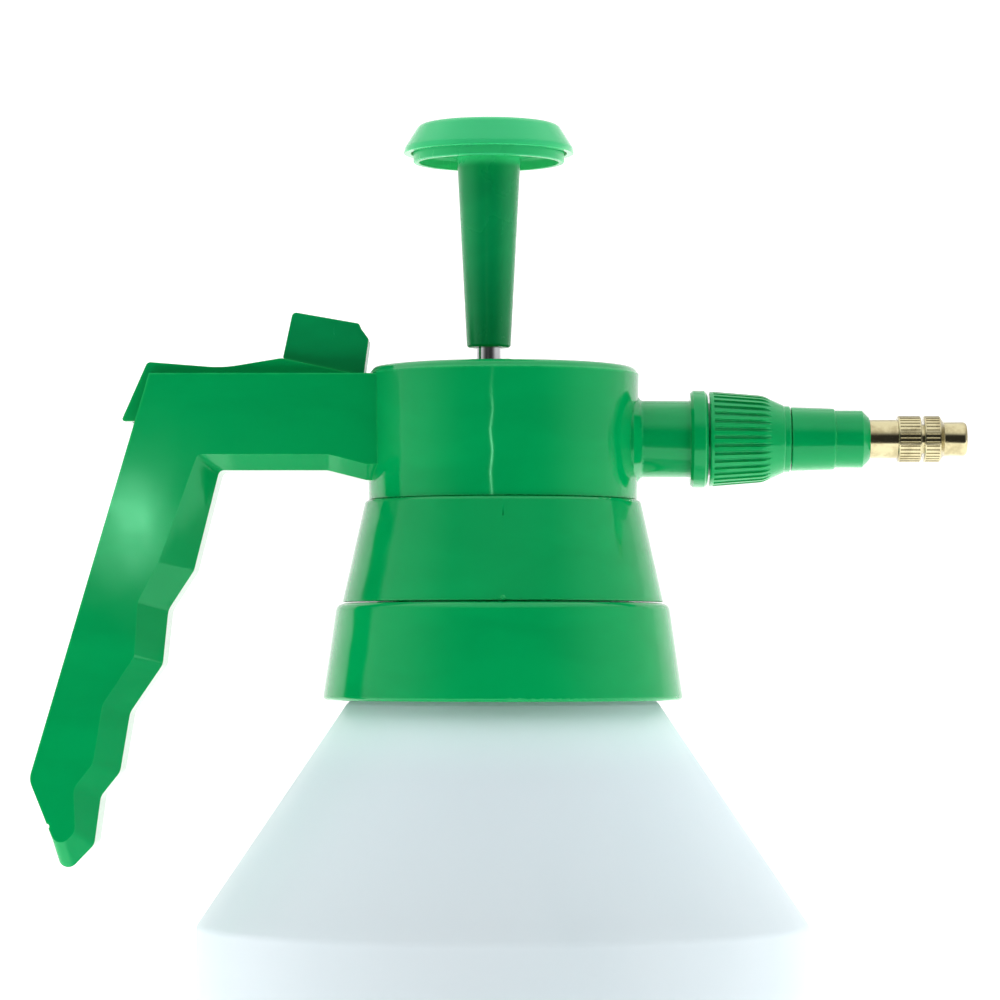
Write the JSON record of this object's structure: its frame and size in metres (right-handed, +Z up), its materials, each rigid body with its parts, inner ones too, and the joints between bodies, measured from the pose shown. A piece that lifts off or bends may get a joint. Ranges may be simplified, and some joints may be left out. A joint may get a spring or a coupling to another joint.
{
  "type": "pump sprayer",
  "caption": "Hand-pumped pressure sprayer with a translucent bottle, screw-on head, thumb lever with lock, pistol handle and adjustable brass tip.",
  "frame": {"origin": "centre of the bottle's foot, on the bottle's axis, on the surface it stands on", "axes": "+Z up along the bottle's axis, +X the way the nozzle points, -X the handle"},
  "size_m": [0.1907, 0.125, 0.3169],
  "materials": {
    "bottle_plastic": "milky translucent, satin",
    "green_plastic": "glossy",
    "dark_green_plastic": "glossy",
    "clear_plastic": "natural polypropylene",
    "black_plastic": "satin",
    "rubber": "matt",
    "steel": "bright",
    "brass": "turned, slightly aged",
    "hose_plastic": "soft vinyl"
  },
  "bodies": {
    "tank": {"bottle": "bottle_plastic"},
    "head": {"neck_gasket": "rubber", "head_skirt": "green_plastic", "head_housing": "green_plastic", "top_cap": "green_plastic", "housing_screws": "steel", "pump_screws": "steel", "pump_barrel": "clear_plastic", "check_valve": "rubber", "rod_guide": "black_plastic", "valve_body": "clear_plastic", "inlet_hose": "hose_plastic", "outlet_hose": "hose_plastic", "dip_elbow": "clear_plastic", "outlet_elbow": "clear_plastic", "dip_tube": "clear_plastic", "strainer": "clear_plastic", "valve_spring": "steel"},
    "collar": {"screw_collar": "green_plastic"},
    "pump": {"pump_rod": "steel", "piston": "black_plastic", "piston_seal": "rubber", "piston_washer": "steel", "piston_nut": "steel", "pump_handle": "dark_green_plastic", "knob_cap": "green_plastic"},
    "trigger": {"trigger_lever": "green_plastic"},
    "lock": {"trigger_lock": "dark_green_plastic"},
    "plunger": {"valve_plunger": "brass", "valve_seal": "rubber"},
    "nozzle": {"nozzle_washer": "rubber", "brass_stem": "brass", "nozzle_body": "green_plastic", "lock_nut": "brass"},
    "union_nut": {"nozzle_nut": "green_plastic"},
    "tip_carrier": {"tip_seal": "rubber"},
    "tip": {"nozzle_tip": "brass"}
  },
  "joints": [
    {"name": "head_lift", "type": "slide", "parent": "tank", "child": "head", "axis": [0, 0, 1], "range_m": [0, 0.008]},
    {"name": "collar_turn", "type": "hinge", "parent": "head", "child": "collar", "pos_m": [0, 0, 0.2077], "axis": [0, 0, 1], "range_deg": [0, 720]},
    {"name": "pump_stroke", "type": "slide", "parent": "head", "child": "pump", "axis": [0, 0, 1], "range_m": [0, 0.065]},
    {"name": "trigger_press", "type": "hinge", "parent": "head", "child": "trigger", "pos_m": [-0.0691, 0, 0.2593], "axis": [0, 1, 0], "range_deg": [0, 12]},
    {"name": "lock_slide", "type": "slide", "parent": "trigger", "child": "lock", "axis": [0.9781, 0, -0.2079], "range_m": [0, 0.0022]},
    {"name": "plunger_travel", "type": "slide", "parent": "head", "child": "plunger", "axis": [0, 0, -1], "range_m": [0, 0.00188], "stiffness_N_per_m": 4000, "springref_m": -0.003, "deforming": ["valve_spring"]},
    {"name": "nozzle_draw", "type": "slide", "parent": "head", "child": "nozzle", "axis": [1, 0, 0], "range_m": [0, 0.0045]},
    {"name": "nut_turn", "type": "hinge", "parent": "nozzle", "child": "union_nut", "pos_m": [0.0507, 0, 0.2513], "axis": [1, 0, 0], "range_deg": [0, 1080]},
    {"name": "tip_travel", "type": "slide", "parent": "nozzle", "child": "tip_carrier", "axis": [1, 0, 0], "range_m": [-0.00038, 0.00112]},
    {"name": "tip_turn", "type": "hinge", "parent": "tip_carrier", "child": "tip", "pos_m": [0.0907, 0, 0.2513], "axis": [1, 0, 0], "range_deg": [-180, 540]}
  ],
  "couplings": [
    {"joint": "collar_turn", "follows": "head_lift", "rad_per_m": 1570.8},
    {"joint": "trigger_press", "follows": "plunger_travel", "rad_per_m": 111.1},
    {"joint": "nut_turn", "follows": "nozzle_draw", "rad_per_m": 4188.8},
    {"joint": "tip_turn", "follows": "tip_travel", "rad_per_m": 8377.6}
  ]
}
